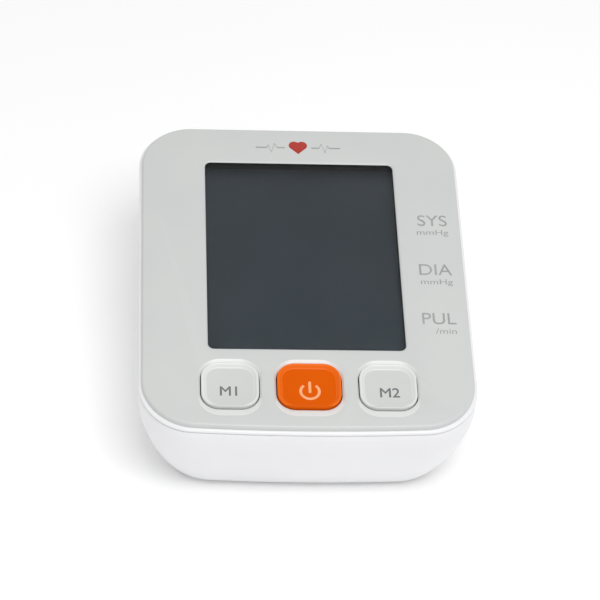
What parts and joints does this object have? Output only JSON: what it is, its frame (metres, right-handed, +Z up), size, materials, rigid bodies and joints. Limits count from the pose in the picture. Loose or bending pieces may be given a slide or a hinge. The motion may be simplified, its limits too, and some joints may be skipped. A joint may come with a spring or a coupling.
{
  "type": "upper arm blood pressure monitor",
  "caption": "Desk console of an upper arm blood pressure monitor: sloping face, large display, memory and power keys, air socket, battery bay.",
  "frame": {"origin": "centre of the bounding box at its bottom, on the plane that the four rubber feet stand on", "axes": "+Y from the keys towards the back edge, +Z up, +X to the user's right"},
  "size_m": [0.1144, 0.1368, 0.0527],
  "materials": {
    "casing_white": "fine satin moulded ABS with a soft gloss",
    "panel_grey": "smooth satin light grey face",
    "key_grey": "smooth satin light grey key",
    "key_orange": "glossy orange key",
    "window_clear": "clear hard-coated acrylic",
    "lcd_dark": "dark polarised display glass",
    "gasket_black": "black cell foam",
    "frame_plastic": "matte moulded plastic",
    "light_guide": "frosted light guide",
    "zebra_rubber": "layered conductive rubber",
    "circuit_board": "green solder mask on glass-fibre board",
    "chip_black": "black moulded package",
    "board_parts": "small board components",
    "sensor_cream": "cream moulded sensor housing",
    "steel": "bright plated steel",
    "silicone": "translucent silicone rubber",
    "foam_black": "black foam rubber",
    "feet_rubber": "grey anti-slip rubber",
    "socket_grey": "dark grey moulded plastic",
    "battery_jacket": "printed film over a steel can",
    "wire_jacket": "thin PVC insulation"
  },
  "bodies": {
    "housing": {"bottom_shell": "casing_white", "top_shell": "casing_white", "front_panel": "panel_grey", "case_screws": "steel", "rubber_feet": "feet_rubber", "aa_cells": "battery_jacket", "battery_springs": "steel", "contact_plates": "steel", "display_window": "window_clear", "window_gasket": "gasket_black", "lcd_glass": "lcd_dark", "lcd_holder": "frame_plastic", "backlight": "light_guide", "zebra_strip": "zebra_rubber", "main_board": "circuit_board", "board_screws": "steel", "controller_chip": "chip_black", "board_parts": "board_parts", "buzzer": "chip_black", "pressure_sensor": "sensor_cream", "dome_m1": "silicone", "dome_power": "silicone", "dome_m2": "silicone", "pump_motor": "steel", "pump_head": "frame_plastic", "pump_sleeve": "foam_black", "release_valve": "steel", "air_manifold": "frame_plastic", "air_tubes": "silicone", "air_socket": "socket_grey", "usb_port": "steel", "usb_board": "circuit_board", "wires": "wire_jacket"},
    "key_m1": {"button_m1": "key_grey"},
    "key_power": {"button_power": "key_orange"},
    "key_m2": {"button_m2": "key_grey"},
    "door": {"battery_door": "casing_white"}
  },
  "joints": [
    {"name": "press_m1", "type": "slide", "parent": "housing", "child": "key_m1", "axis": [0, 0.1045, -0.9945], "range_m": [0, 0.001], "stiffness_N_per_m": 400, "springref_m": -0.0004, "deforming": ["dome_m1"]},
    {"name": "press_power", "type": "slide", "parent": "housing", "child": "key_power", "axis": [0, 0.1045, -0.9945], "range_m": [0, 0.001], "stiffness_N_per_m": 400, "springref_m": -0.0004, "deforming": ["dome_power"]},
    {"name": "press_m2", "type": "slide", "parent": "housing", "child": "key_m2", "axis": [0, 0.1045, -0.9945], "range_m": [0, 0.001], "stiffness_N_per_m": 400, "springref_m": -0.0004, "deforming": ["dome_m2"]},
    {"name": "door_hinge", "type": "hinge", "parent": "housing", "child": "door", "pos_m": [0, 0.054, 0.0024], "axis": [1, 0, 0], "range_deg": [0, 85]}
  ]
}
